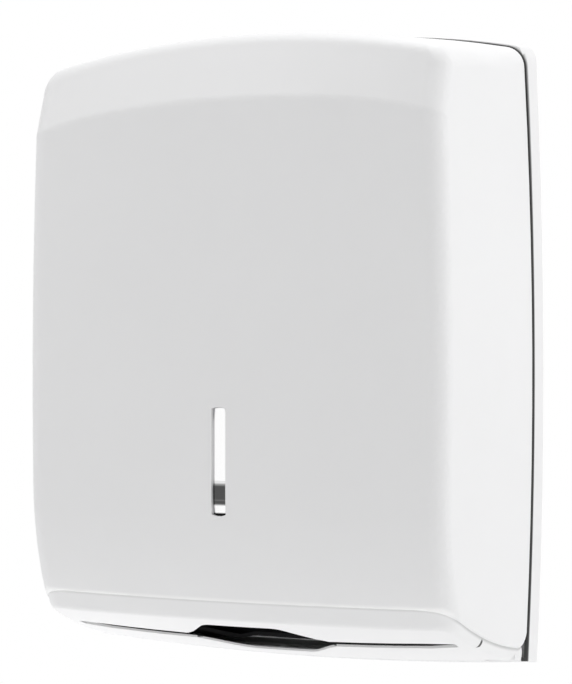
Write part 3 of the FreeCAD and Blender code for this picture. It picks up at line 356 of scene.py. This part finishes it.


# The four grey marks on the panel are painted shade: in the relief behind the slit, on the rear wall seen
# through the mouth, and in two strips under the cover's edge along the seam.
panel_white = moulded("panel_white", (0.84, 0.84, 0.845), 0.46, marks=[
    (0.03, slit_painted_shade), (0.22, mouth_wall_painted_shade),
    (0.72, lambda x, y, z: below_seam(y, z).rise(0.0018, 0.0004) * y.rise(-0.106, -0.114)),
    (0.56, lambda x, y, z: below_seam(y, z).rise(0.0022, 0.0004) * y.rise(-0.114, -0.106))])
skin("bottom_panel", "cover", panel_white, shape=wider_slit)


# Lens behind the viewing slot: bright glossy strip, held by two melted stakes. Its dark band low down is a
# painted reflection of the studio, and the black at its foot a painted shadow.
# Its raised face fills the slot up to two millimetres under the cover's front.
lens_bright, place = new_finish("lens_bright")
lens_bottom = -0.0947
height = place.add("ShaderNodeSeparateXYZ", None, {0: place}, "Z") * 1000 - lens_bottom * 1000
haze = place.add("ShaderNodeTexNoise", None, {"Vector": place, "Scale": 300, "Detail": 2})
white, pale, grey, line, dark, black = 1, 0.8, 0.36, 0.19, 0.085, 0.012
# The grey and dark band with its pale line is a painted reflection in the metal's colour; the black at the
# foot is painted shadow in the slot's lower end.
painted_light_bands = [(0, black), (1.3, black), (1.9, white), (5.3, white), (6.0, grey), (6.6, dark), (7.9, dark),
         (8.3, line), (8.8, dark), (15.7, dark), (16.9, grey), (17.6, pale), (18.4, pale), (19.0, white)]
tone = place.add("ShaderNodeValToRGB", {"stops": [(up / 60, (tint,) * 3) for up, tint in painted_light_bands]},
                 {"Fac": height / 60})
strip = place.add("ShaderNodeBsdfPrincipled", None, {
    "Base Color": tone, "Roughness": haze * 0.04 + 0.12, "Metallic": 1.0})
place.add("ShaderNodeOutputMaterial", None, {"Surface": strip})
skin("window_lens", "cover", lens_bright)


def raised_face(name, half_width, bottom, top, end_radius, depth, height, rounding):
    """Slab with bowed ends and a rounded front edge. Round the outline, width and height follow a sine and
    a cosine of 1.25 times their size, cut off at 1, and the ends bow by the end radius. From ring to ring
    the outline shrinks while the edge turns a quarter circle; the last ring closes on the middle line. The
    slab lies at a depth behind the cover's front, which sweeps back by a parabola below the sweep's top."""
    cover_front, sweep_top, sweep_radius = -0.1398, -0.081, 0.167
    turn = np.linspace(0, 2 * math.pi, 96, endpoint=False)
    across = np.clip(1.25 * np.sin(turn), -1, 1)
    upward = np.clip(1.25 * np.cos(turn), -1, 1)
    middle, half_height = (bottom + top) / 2, (top - bottom) / 2
    quarter = np.linspace(0, math.pi / 2, 5)
    inset = np.concatenate([[0], rounding * (1 - np.cos(quarter)), [half_width * 0.5, half_width]])
    back = np.concatenate([[depth + height], depth + rounding * (1 - np.sin(quarter)), [depth, depth]])
    x = across * (half_width - inset)[:, None]
    z = middle + upward * (half_height - inset[:, None] - bow(x, end_radius))
    y = cover_front + back[:, None] + np.maximum(sweep_top - z, 0) ** 2 / (2 * sweep_radius)
    rings, count = x.shape
    index = np.arange(rings * count).reshape(rings, count)
    following = np.roll(index, -1, 1)
    quads = np.stack([index[:-1], index[1:], following[1:], following[:-1]], -1).reshape(-1, 4)
    mesh = bpy.data.meshes.new(name)
    mesh.from_pydata(np.stack([x, y, z], -1).reshape(-1, 3).tolist(), [],
                     quads.tolist() + [index[0].tolist()])
    work = bmesh.new()
    work.from_mesh(mesh)
    bmesh.ops.remove_doubles(work, verts=work.verts, dist=1e-6)
    bmesh.ops.recalc_face_normals(work, faces=work.faces)
    for face in work.faces:
        face.smooth = len(face.verts) == 4
    work.to_mesh(mesh)
    work.free()
    piece = bpy.data.objects.new(name, mesh)
    bpy.context.collection.objects.link(piece)
    return piece


lens_face = raised_face("lens_face", 0.00395, -0.09455, -0.03705, 0.011, 0.0020, 0.0016, 0.0003)
lens_face.data.materials.append(lens_bright)
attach(lens_face, "cover")


# Cam lock in the cover's top: chromed zinc barrel and plug, brass nut, steel washer, cam and cam screw.
# The bent steel keeper on the plate and the hinge pins in its lugs have the same zinc plating.
def metal(name, colour, roughness):
    """Bare or plated metal with fine mottling and a faintly uneven polish."""
    finish, place = new_finish(name)
    grain = place.add("ShaderNodeTexNoise", None, {"Vector": place, "Scale": 400, "Detail": 3})
    bump = place.add("ShaderNodeBump", None, {"Strength": 0.1, "Distance": 0.0001, "Height": grain})
    surface = place.add("ShaderNodeBsdfPrincipled", None, {
        "Base Color": grain.mix([c * 0.9 for c in colour], colour), "Roughness": grain * 0.1 + roughness,
        "Metallic": 1.0, "Normal": bump})
    place.add("ShaderNodeOutputMaterial", None, {"Surface": surface})
    return finish


chrome = metal("chrome", (0.78, 0.78, 0.79), 0.12)
skin("lock_body", "cover", chrome)
skin("lock_plug", "lock_rotor", chrome)
skin("lock_nut", "cover", metal("brass", (0.75, 0.58, 0.28), 0.3))
zinc = metal("zinc_steel", (0.62, 0.62, 0.63), 0.32)
skin("lock_washer", "cover", zinc)
skin("lock_cam", "lock_rotor", zinc)
for node in ("lock_strike", "hinge_pin_left", "hinge_pin_right"):
    skin(node, "base", zinc)

# Screws: small zinc-plated pan heads, for the fences, the tray, the keeper, the panel's tabs and the cam.
for node in ("guide_screws", "cradle_screws", "strike_screws"):
    skin(node, "base", zinc)
skin("panel_screws", "cover", zinc)
skin("cam_screw", "lock_rotor", zinc)


# Studio floor: a pale sheet well below the wall-hung dispenser. Near it the paper takes its shadow; far
# from it the paper goes over into the white surround.
def sheet(name, half, height, count):
    """Level square grid: both coordinates run evenly from -half to half, and z is the height."""
    across = np.linspace(-half, half, count)
    gx, gy = np.meshgrid(across, across, indexing="ij")
    index = np.arange(count * count).reshape(count, count)
    quads = np.stack([index[:-1, :-1], index[1:, :-1], index[1:, 1:], index[:-1, 1:]], -1).reshape(-1, 4)
    mesh = bpy.data.meshes.new(name)
    mesh.from_pydata(np.stack([gx, gy, np.full_like(gx, height)], -1).reshape(-1, 3).tolist(), [],
                     quads.tolist())
    piece = bpy.data.objects.new(name, mesh)
    bpy.context.collection.objects.link(piece)
    return piece


def seen_directly(start):
    """1 for rays that show the background: the camera's, mirrored and transmitted ones."""
    camera_ray, glossy_ray, clear_ray = (start.add("ShaderNodeLightPath", out=name) for name in
                                         ("Is Camera Ray", "Is Glossy Ray", "Is Transmission Ray"))
    return camera_ray | glossy_ray | clear_ray


floor = sheet("floor", 9, -0.64, 37)
floor_paper, place = new_finish("floor_paper")
away = place.add("ShaderNodeVectorMath", {"operation": "LENGTH"}, {0: place}, "Value").rise(0.75, 1.3)
fibre = place.add("ShaderNodeTexNoise", None, {"Vector": place, "Scale": 700, "Detail": 2})
place.add("ShaderNodeOutputMaterial", None, {"Surface": place.add("ShaderNodeMixShader", None, {
    0: seen_directly(place) * away,
    1: place.add("ShaderNodeBsdfDiffuse", None, {"Color": fibre.mix((0.92,) * 3, (0.94,) * 3)}),
    2: place.add("ShaderNodeEmission", None, {"Color": (1, 1, 1, 1), "Strength": 1})})})
floor.data.materials.append(floor_paper)

# Studio light: an even pale surround, broad lamps from the right and overhead, faint ones from the left
# and below.
world = bpy.data.worlds.new("studio")
world.use_nodes = True
world.node_tree.nodes.clear()
start = Wire(world.node_tree)
start.add("ShaderNodeOutputWorld", None, {"Surface": start.add("ShaderNodeMixShader", None, {
    0: seen_directly(start),
    1: start.add("ShaderNodeBackground", None, {"Color": (1, 1, 1, 1), "Strength": 0.664}),
    2: start.add("ShaderNodeBackground", None, {"Color": (1, 1, 1, 1), "Strength": 1})})})
bpy.context.scene.world = world
for name, spot, aim, size, power in (
        ("lamp_right", (2.45, 0.95, 0.3), (0, -0.06, 0), 2.0, 17.3),
        ("lamp_overhead", (0.4, 0.45, 3.0), (0, -0.06, 0), 1.8, 45),
        ("lamp_left", (-2.0, -1.0, 1.7), (0, -0.06, 0), 1.2, 8.5),
        ("lamp_below_left", (-0.30, 0.04, -0.44), (-0.08, -0.09, -0.17), 0.4, 0.22),
        ("lamp_below", (0.07, -0.07, -0.5), (0.05, -0.08, -0.17), 0.3, 0.045)):
    lamp = bpy.data.objects.new(name, bpy.data.lights.new(name, "AREA"))
    lamp.data.shape = "SQUARE"
    lamp.data.size = size
    lamp.data.energy = power
    lamp.location = spot
    lamp.rotation_euler = (Vector(spot) - Vector(aim)).to_track_quat("Z", "Y").to_euler()
    lamp.visible_camera = False
    bpy.context.collection.objects.link(lamp)

# Camera at the photograph's angle: to the right of the dispenser, a little below its middle.
turn, tilt = math.radians(22.545), math.radians(-1.011)
back = Vector((math.sin(turn) * math.cos(tilt), -math.cos(turn) * math.cos(tilt), math.sin(tilt)))
right = Vector((math.cos(turn), math.sin(turn), 0))
camera = bpy.data.objects.new("camera", bpy.data.cameras.new("camera"))
camera.data.lens = 90.347
camera.data.sensor_width = 36
camera.data.clip_end = 50
camera.matrix_world = (Matrix.Translation((0.3823, -0.967, -0.0184))
                       @ Matrix((right, back.cross(right), back)).transposed().to_4x4())
bpy.context.collection.objects.link(camera)
bpy.context.scene.camera = camera
bpy.context.scene.view_settings.view_transform = "Standard"
